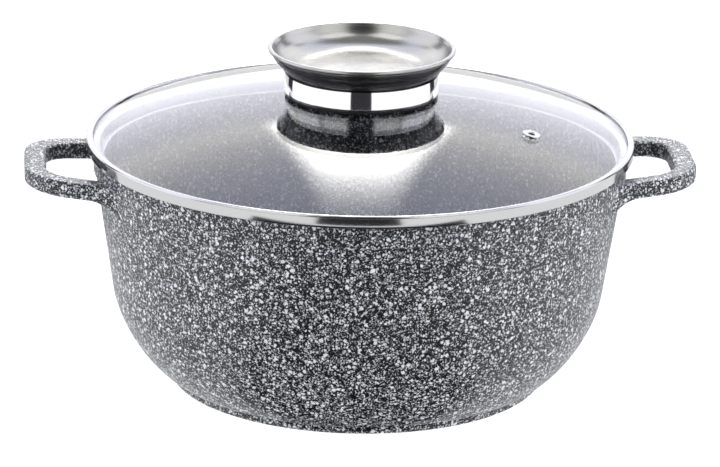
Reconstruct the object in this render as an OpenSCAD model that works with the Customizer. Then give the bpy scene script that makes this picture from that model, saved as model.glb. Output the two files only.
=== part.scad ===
// Two-handled casserole, cast in one piece with its loop handles, under a domed glass lid.
// The foot stands on z = 0, the handles lie along X and all lengths are in millimetres.

/* [Pot] */
// Outer radius of the wall at the rim
rim_r = 141.2; // [132:0.1:150]
// Height of the pot from the foot to the rim
pot_h = 126.2; // [112:0.1:140]
// Thickness of the wall and belly
wall_t = 4; // [3.5:0.1:4.5]
// Thickness of the wall above the inner ledge
rim_t = 3; // [2.4:0.1:3.4]
// Thickness of the base over the foot
base_t = 6; // [5:0.1:8]
// Lean of the wall from upright, in degrees
wall_lean = 8.4; // [5:0.1:11]
// Height where the straight wall runs into the belly
belly_top = 50; // [44:0.5:58]
// Slope of the belly where it leaves the foot, in degrees
belly_slope = 35; // [28:0.5:42]
// How far the belly follows that slope before it turns up
belly_pull = 20; // [14:0.5:24]
// How far the straight wall's line reaches down into the belly
wall_pull = 13; // [8:0.5:18]
// Depth of the rim band below the rim, down to the shoulder
shoulder_drop = 11; // [8:0.5:15]
// How far the rim band stands out from the wall below it
shoulder_step = 0.9; // [0.5:0.1:1.5]
// Depth of the inner ledge below the rim
ledge_drop = 12.5; // [10:0.5:16]

/* [Foot] */
// Radius of the foot
foot_r = 99.5; // [90:0.5:106]
// Height of the foot
foot_h = 5; // [3:0.5:6]
// Width of the step between the foot and the belly
foot_step = 2.7; // [1.5:0.1:4]
// Radius of the foot's lower edge
foot_edge = 1.6; // [1:0.1:2.4]
// Depth of the rings turned into the underside
groove_d = 0.5; // [0.3:0.1:1]
// Width of each turned ring
groove_w = 2.4; // [1:0.1:4]
// Distance from one turned ring to the next
groove_pitch = 8; // [6:0.5:12]
// Radius of the plain disc inside the turned rings
groove_start = 20; // [12:1:30]

/* [Handles] */
// How far a handle reaches out from the rim
handle_reach = 36.5; // [30:0.5:44]
// Width of a handle over its two side bars, at the wall
handle_w = 88.4; // [80:0.1:98]
// Width of a handle's bar, seen from above
handle_bar = 11.5; // [9:0.1:13]
// Thickness of a handle from top to underside
handle_t = 8.8; // [7:0.1:10.5]
// Radius of a handle's outer corners, seen from above
handle_corner = 28; // [22:0.5:34]
// How far the side bars close in on one another outwards, in degrees each
handle_taper = 12; // [4:0.5:18]
// Upward tilt of a handle from the wall to its end, in degrees
handle_tilt = 4.3; // [0:0.1:8]
// Radius along a handle's edges
handle_edge = 1.8; // [1.2:0.1:3.2]
// Depth of a handle's top face below the rim, at the wall
handle_drop = 7.9; // [5:0.1:9]
// Radius of the fillet between a handle's underside and the wall
handle_fillet = 9; // [5:0.5:12]
// Radius of the fillets between a handle's side bars and the wall
handle_root = 5; // [3:0.5:8]

/* [Lid rim] */
// How far the lid's steel band overhangs the pot's rim
lid_over = 3.8; // [2.5:0.1:6]
// Thickness of the steel sheet
sheet_t = 0.6; // [0.4:0.05:0.8]
// Radius of the bead rolled along the band's top
bead_r = 1.4; // [1:0.1:2.4]
// Depth of the skirt that centres the lid in the pot
skirt_h = 7.5; // [5:0.1:9]
// Gap between the skirt and the pot's inner wall
skirt_gap = 1.2; // [0.6:0.1:2]
// Width of the lip that holds the glass down, inside the bead
lip_w = 1; // [0.6:0.1:3]
// Radius of the folds in the steel sheet
fold_r = 1; // [0.6:0.1:1.4]

/* [Lid glass] */
// Thickness of the glass
glass_t = 4; // [3:0.1:5]
// Rise of the dome from the glass's edge to its top
dome_rise = 26.7; // [22:0.1:36]
// Gap between the glass's edge and the band around it
glass_gap = 0.4; // [0.2:0.05:0.8]
// Width of the ground edge around the glass
glass_edge = 0.6; // [0.3:0.1:1]
// Clearance of the knob's screw in the glass
glass_hole_gap = 1.1; // [0.6:0.1:2]
// Distance of the steam vent from the lid's centre
vent_reach = 97; // [80:0.1:112]
// Direction of the steam vent, in degrees from +X
vent_turn = -27.5; // [-60:0.1:60]

/* [Steam vent] */
// Radius of the eyelet's flanges
vent_flange_r = 4.75; // [4:0.05:6]
// Outer radius of the eyelet's barrel
vent_barrel_r = 2.7; // [2.4:0.05:3]
// Radius of the steam hole
vent_hole_r = 1.7; // [1.2:0.05:2]
// Thickness of the flanges
vent_flange_t = 0.8; // [0.5:0.05:1.2]
// How far the lower flange stays inside the upper one
vent_low_inset = 0.6; // [0.2:0.1:1.2]

/* [Knob] */
// Outer radius of the steel band around the knob
band_r = 41.1; // [38:0.1:44]
// Height of the steel band
band_h = 9.7; // [8:0.1:13]
// Thickness of the steel band
band_t = 0.8; // [0.5:0.1:1.2]
// Height of the black base below the steel band, at its outer edge
base_lip_h = 1; // [0.8:0.1:3]
// Depth of the seam between the steel band and the flare
seam_d = 2.2; // [1:0.1:3]
// Height of that seam
seam_h = 2; // [0.8:0.1:3]
// Height of the flare from the seam to the dish's rim
flare_h = 11.8; // [9:0.1:15]
// How far the flare's lower edge stands out past the steel band
flare_out = 0.9; // [0:0.1:2]
// How far the dish's rolled rim reaches out past the steel band
dish_over = 8.4; // [6:0.1:11]
// Radius of the roll along the dish's rim
dish_roll = 1.2; // [1:0.05:2]
// Width of the dish's sloping side, from its rim to its floor
dish_side = 21.5; // [17:0.5:26]
// Depth of the dish from its rim to its floor
dish_depth = 12; // [9:0.1:13]
// Thickness of the dish's sheet
dish_t = 0.8; // [0.6:0.05:1]
// Thickness of the knob's moulded walls
knob_wall = 3; // [2.2:0.1:4]
// Radius of the knob's boss
boss_r = 8; // [6.5:0.1:10]

/* [Fasteners and seals] */
// Radius of the knob's screw
screw_r = 3; // [2.5:0.1:3.5]
// Gap between the screw's tip and the dish above it
tip_gap = 0.8; // [0.5:0.1:3]
// Radius of the screw's head
head_r = 5.6; // [5:0.1:6.5]
// Height of the screw's head
head_h = 3.4; // [2.5:0.1:4]
// Width of the cross slots in the screw's head
slot_w = 1.2; // [0.8:0.1:1.6]
// Radius of the washer under the glass
washer_r = 9; // [7.5:0.1:11]
// Thickness of the washer
washer_t = 1; // [0.8:0.1:1.5]
// Thickness of the silicone seals on either side of the glass
seal_t = 1.2; // [0.8:0.1:2]
// Width of the ring seal under the knob's edge
seal_w = 5; // [3:0.1:7]
// Radial clearance of pieces that pass through one another
pass_gap = 0.1; // [0.05:0.01:0.3]
// Clearance of curved faces that lie on one another
seat_gap = 0.05; // [0.02:0.01:0.1]

/* [Hidden] */
$fn = 144;
CURVE_STEPS = 16;
ARC_STEPS = 6;

// Points along an arc about c, from angle a0 to a1
function arc(c, r, a0, a1, n = ARC_STEPS) =
    [for (i = [0:n]) let (a = a0 + (a1 - a0) * i / n) [c[0] + r * cos(a), c[1] + r * sin(a)]];

// Points along a cubic curve with the four given controls
function cubic(p0, p1, p2, p3, n = CURVE_STEPS) =
    [for (i = [0:n]) let (t = i / n, u = 1 - t)
        u * u * u * p0 + 3 * u * u * t * p1 + 3 * u * t * t * p2 + t * t * t * p3];

// Unit vector square to the path at its point i
function side_way(path, i) =
    let (a = path[max(i - 1, 0)], b = path[min(i + 1, len(path) - 1)], d = b - a)
    [-d[1], d[0]] / norm(d);

// Outline of a sheet of thickness t whose middle follows the path
function sheet_outline(path, t) =
    concat([for (i = [0:len(path) - 1]) path[i] + side_way(path, i) * t / 2],
           [for (i = [len(path) - 1:-1:0]) path[i] - side_way(path, i) * t / 2]);

// The pot's outer wall
shoulder_z = pot_h - shoulder_drop;
shoulder_r = rim_r - shoulder_step;
function wall_r(z) = shoulder_r - tan(wall_lean) * (shoulder_z - z);
belly_r = foot_r + foot_step;
rim_round = rim_t * 0.4;
belly_path = cubic([belly_r, foot_h],
    [belly_r + belly_pull * cos(belly_slope), foot_h + belly_pull * sin(belly_slope)],
    [wall_r(belly_top - wall_pull), belly_top - wall_pull],
    [wall_r(belly_top), belly_top]);

// The pot's inner wall, one wall's thickness inside the outer one
inner_belly = [for (i = [0:len(belly_path) - 1]) belly_path[i] + side_way(belly_path, i) * wall_t];
ledge_z = pot_h - ledge_drop;
rim_inner_r = rim_r - rim_t;
floor_run = (inner_belly[0][1] - base_t) / tan(belly_slope);
floor_r = inner_belly[0][0] - 3 * floor_run;
wall_in = wall_t / cos(wall_lean);

// The handles
handle_end = rim_r + handle_reach;
handle_z = pot_h - handle_drop - handle_t / 2;
bend_x = handle_end - handle_corner;
bend_y = handle_w / 2 - tan(handle_taper) * (bend_x - rim_r) - handle_corner / cos(handle_taper);
bar_bend = handle_corner - handle_bar / 2;

// The side bar's run from its bend to the wall, along the middle of the bar
run_from = [bend_x + bar_bend * sin(handle_taper), bend_y + bar_bend * cos(handle_taper)];
run_dot = run_from * [-cos(handle_taper), sin(handle_taper)];
run_wall = -run_dot - sqrt(run_dot * run_dot - run_from * run_from + rim_r * rim_r);
run_sunk = handle_bar + rim_t;

// The glass, a slice of a sphere that stands on the steel shelf
lid_r = rim_r + lid_over;
glass_r = lid_r - sheet_t - glass_gap;
glass_foot = pot_h + sheet_t + seat_gap;
dome_r = (glass_r * glass_r + dome_rise * dome_rise) / (2 * dome_rise);
dome_top = glass_foot + glass_t + dome_rise;
function dome_z(r, lift = 0) = dome_top - dome_r + sqrt(dome_r * dome_r - r * r) + lift;
function dome_path(r0, r1, lift = 0, n = CURVE_STEPS) =
    [for (i = [0:n]) let (r = r0 + (r1 - r0) * i / n) [r, dome_z(r, lift)]];
screw_hole_r = screw_r + glass_hole_gap;

// The lid's steel rim
skirt_r = rim_inner_r - skirt_gap;
lip_r = lid_r - 2 * bead_r - lip_w / 2;
lip_z = dome_z(lip_r, seat_gap + sheet_t / 2);
bead_top = dome_z(lid_r - 2 * bead_r) + bead_r;

// The knob
knob_r = band_r - band_t - seat_gap;
dish_r = band_r + dish_over;
dish_floor_r = dish_r - dish_side;
band_z = dome_z(band_r) + seal_t + base_lip_h;
seam_z = band_z + band_h;
flare_z = seam_z + seam_h;
dish_z = flare_z + flare_h;
dish_floor = dish_z - dish_depth;
boss_foot = dome_z(0, seal_t + seat_gap);
deck_z = dish_floor - dish_t - seat_gap;

// Middle of the dish's sheet, from its centre out to the foot of the rolled rim
dish_mid = dish_floor - dish_t / 2;
dish_run = dish_r - 2 * dish_roll - 0.2 - dish_floor_r;
dish_wall = concat([[0, dish_mid], [dish_floor_r - 4, dish_mid]],
    cubic([dish_floor_r, dish_mid + 0.1], [dish_floor_r + dish_run * 0.2, dish_mid + 0.3],
        [dish_floor_r + dish_run * 0.7, dish_z - dish_depth * 0.5],
        [dish_floor_r + dish_run, dish_z - 1.5 * dish_roll], 10));
screw_head_z = dome_top - glass_t - seat_gap - seal_t - washer_t - 2 * seat_gap;

// One turned ring in the underside, as points along the foot from the outside in
function ring_points(r) =
    [[r + groove_w / 2, 0], [r + groove_w / 2 - groove_d, groove_d],
     [r - groove_w / 2 + groove_d, groove_d], [r - groove_w / 2, 0]];
last_ring = groove_start + groove_pitch
    * floor((foot_r - foot_edge - groove_w - groove_start) / groove_pitch);

// Half of the pot's section
module pot_section() {
    rings = [for (r = [last_ring:-groove_pitch:groove_start]) each ring_points(r)];
    outside = concat(
        arc([foot_r - foot_edge, foot_edge], foot_edge, -90, 0, 4),
        [[foot_r, foot_h]],
        belly_path,
        [[wall_r(shoulder_z - shoulder_step), shoulder_z - shoulder_step],
         [rim_r, shoulder_z]],
        arc([rim_r - rim_round, pot_h - rim_round], rim_round, 0, 90, 4));
    inside = concat(
        arc([rim_inner_r + rim_round, pot_h - rim_round], rim_round, 90, 180, 4),
        [[rim_inner_r, ledge_z],
         [wall_r(ledge_z) - wall_in, ledge_z - 1]],
        [for (i = [len(inner_belly) - 1:-1:0]) inner_belly[i]],
        [[inner_belly[0][0] - floor_run * 0.9, base_t + (inner_belly[0][1] - base_t) * 0.32],
         [floor_r, base_t], [0, base_t]]);
    polygon(concat([[0, 0]], [for (i = [len(rings) - 1:-1:0]) rings[i]], outside, inside));
}

// Section of a handle's bar, with rounded edges
module bar_section() {
    square([handle_bar - 2 * handle_edge, handle_t], center = true);
    square([handle_bar, handle_t - 2 * handle_edge], center = true);
    for (x = [-1, 1], y = [-1, 1])
        translate([x * (handle_bar / 2 - handle_edge), y * (handle_t / 2 - handle_edge)])
            circle(r = handle_edge, $fn = 48);
}

// Fillet under a side bar, as wide as the bar's flat face; the wall is at x = run_sunk
module under_fillet() {
    drop = handle_t / 2 + handle_fillet;
    flat_w = handle_bar - 2 * handle_edge;
    wall_at = run_sunk - handle_t / 4;
    translate([0, flat_w / 2, 0]) rotate([90, 0, 0])
        linear_extrude(flat_w) difference() {
            translate([0, -drop]) square([wall_at + handle_fillet, drop]);
            translate([wall_at + handle_fillet, -drop]) circle(r = handle_fillet, $fn = 96);
        }
}

// Fillets in plan on both sides of a side bar's root
module root_fillet() {
    reach = handle_bar / 2 + handle_root;
    linear_extrude(handle_t - 2 * handle_edge, center = true) difference() {
        translate([0, -reach]) square([run_sunk + handle_root, 2 * reach]);
        for (side = [-1, 1])
            translate([run_sunk + handle_root, side * reach]) circle(r = handle_root, $fn = 96);
    }
}

// Half section of what the middle of the wall encloses, which the handles stop at
module wall_core() {
    low = belly_top;
    polygon([[0, low], [wall_r(low) - wall_t / 2, low], [wall_r(shoulder_z) - wall_t / 2, shoulder_z],
        [rim_r - rim_t / 2, shoulder_z], [rim_r - rim_t / 2, pot_h + 1], [0, pot_h + 1]]);
}

// One loop handle, reaching out along +X and up a little
module handle() {
    translate([rim_r, 0, handle_z]) rotate([0, -handle_tilt, 0]) translate([-rim_r, 0, 0]) {
        translate([handle_end - handle_bar / 2, bend_y, 0]) rotate([90, 0, 0])
            linear_extrude(2 * bend_y) bar_section();
        for (side = [-1, 1]) mirror([0, side < 0 ? 1 : 0, 0])
            translate([bend_x, bend_y, 0]) {
                rotate_extrude(angle = 90 - handle_taper, $fn = 120)
                    translate([bar_bend, 0]) bar_section();
                rotate([0, 0, 90 - handle_taper]) translate([bar_bend, 0, 0]) {
                    rotate([-90, 0, 0]) linear_extrude(run_wall + run_sunk) bar_section();
                    translate([0, run_wall + run_sunk, 0]) rotate([0, 0, -90]) {
                        under_fillet();
                        root_fillet();
                    }
                }
            }
    }
}

// Pot, foot and handles, one casting with a stone-look coating
module pot() {
    color("dimgray") union() {
        rotate_extrude() pot_section();
        difference() {
            for (turn = [0, 180]) rotate([0, 0, turn]) handle();
            rotate_extrude() wall_core();
        }
    }
}

// Steel band rolled round the glass, with the shelf and skirt that sit in the pot
module lid_rim() {
    half = sheet_t / 2;
    shelf_z = pot_h + half;
    path = concat(
        [[lip_r, lip_z], [lip_r + lip_w * 0.5, lip_z - 0.1 * lip_w]],
        arc([lid_r - bead_r, bead_top - bead_r], bead_r - half, 150, 0, 10),
        arc([lid_r - half - fold_r, shelf_z + fold_r], fold_r, 0, -90, 4),
        arc([skirt_r - half + fold_r, shelf_z - fold_r], fold_r, 90, 180, 4),
        [[skirt_r - half, pot_h - skirt_h]]);
    color("silver") rotate_extrude() polygon(sheet_outline(path, sheet_t));
}

// Places its children on the dome at the steam vent, square to the glass
module at_vent() {
    rotate([0, 0, vent_turn]) translate([vent_reach, 0, dome_z(vent_reach)])
        rotate([0, asin(vent_reach / dome_r), 0]) children();
}

// Domed glass, with its holes for the knob's screw and the steam vent
module lid_glass() {
    color("lightsteelblue", 0.4) difference() {
        rotate_extrude() polygon(concat(
            dome_path(0, glass_r - glass_edge),
            [[glass_r, dome_z(glass_r) - 1.5 * glass_edge], [glass_r, glass_foot + glass_edge]],
            dome_path(glass_r - glass_edge, 0, -glass_t)));
        translate([0, 0, dome_top - 2 * glass_t]) cylinder(r = screw_hole_r, h = 3 * glass_t);
        at_vent() cylinder(r = vent_barrel_r + pass_gap, h = 4 * glass_t, center = true);
    }
}

// Steel eyelet clinched through the glass, which lets the steam out
module vent_eyelet() {
    under = -glass_t - seat_gap;
    low_r = vent_flange_r - vent_low_inset;
    low_edge = vent_flange_t * 0.4;
    color("silver") at_vent() rotate_extrude() polygon(concat(
        [[vent_hole_r, under - vent_flange_t]],
        arc([low_r - low_edge, under - low_edge], low_edge, -90, 90, 4),
        [[vent_barrel_r, under], [vent_barrel_r, seat_gap]],
        arc([vent_flange_r - vent_flange_t / 2, seat_gap + vent_flange_t / 2],
            vent_flange_t / 2, -90, 90, 6),
        [[vent_hole_r + vent_flange_t, seat_gap + vent_flange_t],
         [vent_hole_r, seat_gap + vent_flange_t / 2]]));
}

// Silicone ring under the knob's outer edge
module knob_seal() {
    outer = knob_r - seal_t / 3;
    color([0.08, 0.08, 0.08]) rotate_extrude() polygon(concat(
        dome_path(outer - seal_w, outer, seat_gap, 6),
        dome_path(outer, outer - seal_w, seal_t, 6)));
}

// Black moulding: base, barrel under the steel band, neck, flare and boss
module knob_body() {
    room_r = knob_r - knob_wall;
    brim_r = dish_r - dish_roll + 0.3;
    brim_z = dish_z - 2 * dish_roll - seat_gap;
    lip_edge = 0.2;
    draft = 0.6;
    flare_r = band_r + flare_out;
    flare = cubic([flare_r, flare_z + lip_edge], [flare_r + 1.8, flare_z + 0.2 * flare_h],
        [brim_r - 1.8, flare_z + 0.42 * flare_h], [brim_r, brim_z]);
    dish_room = [for (i = [0:len(dish_wall) - 1])
        dish_wall[i] - side_way(dish_wall, i) * (dish_t / 2 + seat_gap)];
    color([0.06, 0.06, 0.06]) rotate_extrude() difference() {
        polygon(concat(
            [[0, boss_foot], [boss_r, boss_foot], [boss_r + draft, deck_z - knob_wall],
             [room_r - draft, deck_z - knob_wall]],
            dome_path(room_r, knob_r, seal_t + seat_gap, 4),
            [[band_r - lip_edge, dome_z(knob_r, seal_t + seat_gap) + lip_edge],
             [band_r - lip_edge, band_z - seat_gap], [knob_r, band_z - seat_gap],
             [knob_r, seam_z], [knob_r - seam_d, seam_z + lip_edge],
             [knob_r - seam_d, flare_z - lip_edge], [flare_r - lip_edge, flare_z]],
            flare,
            [[0, brim_z]]));
        polygon(concat([[0, dish_z], [0, deck_z]], dish_room, [[dish_r - 2 * dish_roll, dish_z]]));
        square([screw_r + pass_gap / 2, dish_floor]);
    }
}

// Polished steel sleeve round the knob's barrel
module knob_band() {
    crown = 0.4;
    color("gainsboro") rotate_extrude() polygon(concat(
        [[band_r - band_t, band_z], [band_r - crown, band_z]],
        [[band_r, band_z + crown], [band_r, seam_z - crown]],
        [[band_r - crown, seam_z], [band_r - band_t, seam_z]]));
}

// Pressed steel dish with a rolled rim
module knob_dish() {
    curl = arc([dish_r - dish_roll, dish_z - dish_roll], dish_roll - dish_t / 2, 165, -90, 12);
    color("gainsboro") rotate_extrude() polygon(sheet_outline(concat(dish_wall, curl), dish_t));
}

// Silicone washer between the glass and the steel washer
module screw_seal() {
    color([0.08, 0.08, 0.08]) rotate_extrude() polygon(concat(
        dome_path(screw_r + pass_gap, washer_r + 0.8, -glass_t - seat_gap, 4),
        [[washer_r + 0.8, dome_top - glass_t - seat_gap - seal_t],
         [screw_r + pass_gap, dome_top - glass_t - seat_gap - seal_t]]));
}

// Steel washer under the screw's head
module screw_washer() {
    color("silver") translate([0, 0, screw_head_z + seat_gap]) difference() {
        cylinder(r = washer_r, h = washer_t);
        translate([0, 0, -1]) cylinder(r = screw_r + pass_gap, h = washer_t + 2);
    }
}

// Pan-headed screw with crossed slots, which draws the knob down on the glass
module knob_screw() {
    tip = deck_z - tip_gap;
    low = screw_head_z - head_h;
    head_edge = head_r / 4;
    chamfer = screw_r / 5;
    color("silver") difference() {
        rotate_extrude() polygon(concat([[0, tip], [0, low]],
            arc([head_r - head_edge, low + head_edge], head_edge, -90, 0, 4),
            [[head_r, screw_head_z], [screw_r, screw_head_z],
             [screw_r, tip - chamfer], [screw_r - chamfer, tip]]));
        for (turn = [0, 90]) translate([0, 0, low]) rotate([0, 0, turn])
            cube([head_r, slot_w, 0.8 * head_h], center = true);
    }
}

pot();
lid_rim();
lid_glass();
vent_eyelet();
knob_seal();
knob_body();
knob_band();
knob_dish();
screw_seal();
screw_washer();
knob_screw();
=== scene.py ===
"""A two-handled casserole with a domed glass lid, dressed and lit for a studio picture.

Every length below is in metres in the part's own frame: the foot stands on z = 0 and the
handles lie along X. Sizes that are easier to read in millimetres are multiplied by MM.
"""

from __future__ import annotations

import logging
import math
from dataclasses import dataclass
from enum import Enum
from typing import Iterable, Sequence

import bmesh
import bpy
from mathutils import Matrix, Vector


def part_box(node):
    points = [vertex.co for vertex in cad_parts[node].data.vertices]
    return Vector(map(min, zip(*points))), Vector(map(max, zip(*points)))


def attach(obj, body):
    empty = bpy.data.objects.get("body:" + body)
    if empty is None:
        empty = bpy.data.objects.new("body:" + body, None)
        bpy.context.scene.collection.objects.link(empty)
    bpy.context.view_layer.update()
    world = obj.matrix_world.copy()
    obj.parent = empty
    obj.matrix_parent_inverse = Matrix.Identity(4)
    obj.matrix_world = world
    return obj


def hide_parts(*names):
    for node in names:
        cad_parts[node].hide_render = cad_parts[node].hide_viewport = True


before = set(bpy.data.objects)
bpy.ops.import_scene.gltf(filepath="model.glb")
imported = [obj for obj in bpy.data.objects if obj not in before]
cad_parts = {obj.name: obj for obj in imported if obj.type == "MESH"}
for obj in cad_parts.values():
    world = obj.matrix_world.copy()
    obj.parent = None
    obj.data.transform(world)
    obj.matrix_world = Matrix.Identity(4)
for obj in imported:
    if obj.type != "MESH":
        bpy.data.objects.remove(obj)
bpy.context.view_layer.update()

MM = 0.001
ROOT = "root"
SHARP_DEG = 32.0
Point = Edge = tuple[float, float]
Colour = tuple[float, float, float]
Piece, Mesh, Material = bpy.types.Object, bpy.types.Mesh, bpy.types.Material
Socket = bpy.types.NodeSocket
log = logging.getLogger("casserole")


class Slot(Enum):
    """The record's material slots."""

    CASTING = "coated_casting"
    POLISHED = "polished_steel"
    GLASS = "lid_glass"
    SILICONE = "silicone"
    MOULDING = "black_moulding"
    SATIN = "satin_steel"


def arc(centre: Point, radius: float, start: float, end: float, steps: int = 8) -> list[Point]:
    """Points along an arc, both ends included.

    The centre is a radius and a height, and the angles are in degrees.
    """
    angles = [math.radians(start + (end - start) * i / steps) for i in range(steps + 1)]
    return [(centre[0] + radius * math.cos(a), centre[1] + radius * math.sin(a)) for a in angles]


def cubic(a: Point, b: Point, c: Point, d: Point, steps: int = 24) -> list[Point]:
    """Points along a cubic curve from a to d, which leaves towards b and arrives from c."""
    points = []
    for i in range(steps + 1):
        t = i / steps
        u = 1.0 - t
        weights = (u * u * u, 3 * u * u * t, 3 * u * t * t, t * t * t)
        points.append(tuple(sum(w * p[k] for w, p in zip(weights, (a, b, c, d))) for k in (0, 1)))
    return points


def beside(path: Sequence[Point], offset: float) -> list[Point]:
    """The path moved sideways, to its left for a positive offset."""
    moved = []
    for i, (x, y) in enumerate(path):
        before, after = path[max(i - 1, 0)], path[min(i + 1, len(path) - 1)]
        dx, dy = after[0] - before[0], after[1] - before[1]
        length = math.hypot(dx, dy)
        moved.append((x - dy / length * offset, y + dx / length * offset))
    return moved


def sheet_outline(path: Sequence[Point], thickness: float) -> list[Point]:
    """The closed outline of a sheet whose middle follows the path."""
    return beside(path, thickness / 2) + beside(path, -thickness / 2)[::-1]


def new_piece(name: str, data: bpy.types.ID) -> Piece:
    """Puts a mesh, camera or light into the scene as an object of that name."""
    piece = bpy.data.objects.new(name, data)
    bpy.context.scene.collection.objects.link(piece)
    return piece


def finished_mesh(name: str, work: bmesh.types.BMesh) -> Mesh:
    """Turns a mesh in work into a mesh of that name."""
    mesh = bpy.data.meshes.new(name)
    work.to_mesh(mesh)
    work.free()
    return mesh


def cut_out(piece: Piece, tool: Piece) -> None:
    """Cuts the tool's shape out of a piece, and removes the tool."""
    cut = piece.modifiers.new("cut", "BOOLEAN")
    cut.object, cut.operation, cut.solver = tool, "DIFFERENCE", "EXACT"
    with bpy.context.temp_override(object=piece, active_object=piece):
        bpy.ops.object.modifier_apply(modifier=cut.name)
    bpy.data.objects.remove(tool)


def shade(mesh: Mesh, sharp_deg: float = SHARP_DEG) -> None:
    """Shades a mesh smooth, apart from the edges that turn by more than sharp_deg."""
    work = bmesh.new()
    work.from_mesh(mesh)
    bmesh.ops.recalc_face_normals(work, faces=work.faces)
    limit = math.radians(sharp_deg)
    for face in work.faces:
        face.smooth = True
    for edge in work.edges:
        edge.smooth = len(edge.link_faces) == 2 and edge.calc_face_angle(0.0) < limit
    work.to_mesh(mesh)
    work.free()


def lathe(name: str, outline: Sequence[Point], steps: int = 192) -> Piece:
    """Turns a closed outline of radii and heights about the Z axis into a solid.

    Points on the axis become a single vertex each.
    """
    axis_limit = 1e-7
    work = bmesh.new()
    rings: list[list[bmesh.types.BMVert]] = []
    turns = [2 * math.pi * i / steps for i in range(steps)]
    for radius, height in outline:
        if radius < axis_limit:
            rings.append([work.verts.new((0.0, 0.0, height))] * steps)
        else:
            rings.append([work.verts.new((radius * math.cos(t), radius * math.sin(t), height))
                          for t in turns])
    for i, ring in enumerate(rings):
        after = rings[(i + 1) % len(rings)]
        for k in range(steps):
            n = (k + 1) % steps
            corners = list(dict.fromkeys((ring[k], ring[n], after[n], after[k])))
            if len(corners) > 2:
                work.faces.new(corners)
    mesh = finished_mesh(name, work)
    shade(mesh)
    return new_piece(name, mesh)


def join(name: str, pieces: Sequence[Piece]) -> Piece:
    """Joins pieces that stand at the origin into one object, keeping their materials."""
    first = pieces[0]
    with bpy.context.temp_override(active_object=first, selected_editable_objects=list(pieces),
                                   object=first, selected_objects=list(pieces)):
        bpy.ops.object.join()
    first.name = first.data.name = name
    return first


class NodeDesk:
    """Lays out the nodes of one material, so that a finish reads as a short recipe."""

    def __init__(self, name: str) -> None:
        """Starts an empty material with its output and main shader."""
        self.material = bpy.data.materials.new(name)
        self.material.use_nodes = True
        self.tree = self.material.node_tree
        self.shader = self.tree.nodes["Principled BSDF"]

    def add(self, kind: str, **settings: object) -> bpy.types.Node:
        """Adds a node. Settings are its own properties, or else the values of its inputs."""
        node = self.tree.nodes.new(kind)
        for key, value in settings.items():
            if hasattr(node, key):
                setattr(node, key, value)
            else:
                self.feed(node.inputs[key.replace("_", " ").title()], value)
        return node

    def link(self, source: Socket, target: Socket) -> None:
        """Joins an output to an input."""
        self.tree.links.new(source, target)

    def feed(self, socket: Socket, given: object) -> None:
        """Gives an input its value, or joins it to the output that it is given."""
        if isinstance(given, Socket):
            self.link(given, socket)
        else:
            socket.default_value = given

    def set(self, **values: object) -> None:
        """Feeds the main shader's own inputs, named with underscores for spaces."""
        for key, value in values.items():
            self.feed(self.shader.inputs[key.replace("_", " ")], value)

    def place(self) -> Socket:
        """The point on the object in metres, which patterns are laid out by."""
        return self.add("ShaderNodeTexCoord").outputs["Object"]

    def noise(self, where: Socket, scale: float, detail: float = 2.0,
              roughness: float = 0.5) -> Socket:
        """A noise's value, about 0.5 on average. Its scale is in features to the metre."""
        return self.add("ShaderNodeTexNoise", vector=where, scale=scale, detail=detail,
                        roughness=roughness).outputs["Fac"]

    def wander(self, where: Socket, scale: float, reach: float) -> Socket:
        """The point pushed up to reach metres by a noise, so that round patterns turn uneven."""
        noise = self.add("ShaderNodeTexNoise", vector=where, scale=scale, detail=1.0)
        push = self.add("ShaderNodeVectorMath", operation="MULTIPLY_ADD")
        for socket, given in zip(push.inputs, (noise.outputs["Color"], (reach,) * 3, where)):
            self.feed(socket, given)
        return push.outputs["Vector"]

    def drops(self, where: Socket, scale: float, share: float, small: float,
              large: float) -> tuple[Socket, Socket]:
        """Sprayed drops of mixed sizes, in cells of which scale go to the metre.

        A share of the cells holds a drop, whose radius in cells is from small to large.
        Gives the cover, from 0 to 1, and a chance value for each drop.
        """
        cells = self.add("ShaderNodeTexVoronoi", vector=where, scale=scale)
        chance = self.add("ShaderNodeSeparateColor")
        self.link(cells.outputs["Color"], chance.inputs["Color"])
        soft = 0.07
        radius = self.ramp(chance.outputs["Red"], 1.0 - share, 1.0, small, large, smooth=False)
        inside = self.ramp(self.math("SUBTRACT", radius, cells.outputs["Distance"]), 0.0, soft)
        there = self.math("GREATER_THAN", chance.outputs["Red"], 1.0 - share)
        return self.math("MULTIPLY", inside, there), chance.outputs["Green"]

    def ramp(self, value: Socket, low: float, high: float, to_low: float = 0.0,
             to_high: float = 1.0, smooth: bool = True) -> Socket:
        """A value carried from one range to another, with soft ends if smooth."""
        return self.add("ShaderNodeMapRange", value=value, from_min=low, from_max=high,
                        to_min=to_low, to_max=to_high,
                        interpolation_type="SMOOTHSTEP" if smooth else "LINEAR").outputs["Result"]

    def math(self, operation: str, first: object, second: object = 0.0) -> Socket:
        """One step of arithmetic on sockets or numbers."""
        node = self.add("ShaderNodeMath", operation=operation)
        for socket, given in zip(node.inputs, (first, second)):
            self.feed(socket, given)
        return node.outputs["Value"]

    def mix(self, share: Socket, first: object, second: object) -> Socket:
        """A colour between two, each a socket or three numbers. A share of 1 is the second."""
        node = self.add("ShaderNodeMix", data_type="RGBA", factor=share)
        for name, given in (("A", first), ("B", second)):
            socket = next(s for s in node.inputs if s.name == name and s.type == "RGBA")
            self.feed(socket, given if isinstance(given, Socket) else (*given, 1.0))
        return next(s for s in node.outputs if s.type == "RGBA")

    def bump(self, height: Socket, depth: float, strength: float = 1.0) -> None:
        """Raises the surface by a pattern, whose 1 stands for the depth in metres."""
        node = self.add("ShaderNodeBump", strength=strength, distance=depth)
        self.link(height, node.inputs["Height"])
        self.set(Normal=node.outputs["Normal"])


@dataclass(frozen=True)
class Spray:
    """One size of sprayed drops: cells to the metre, radii in cells and brightness."""

    scale: float
    small: float
    large: float
    dim: float
    full: float


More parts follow.
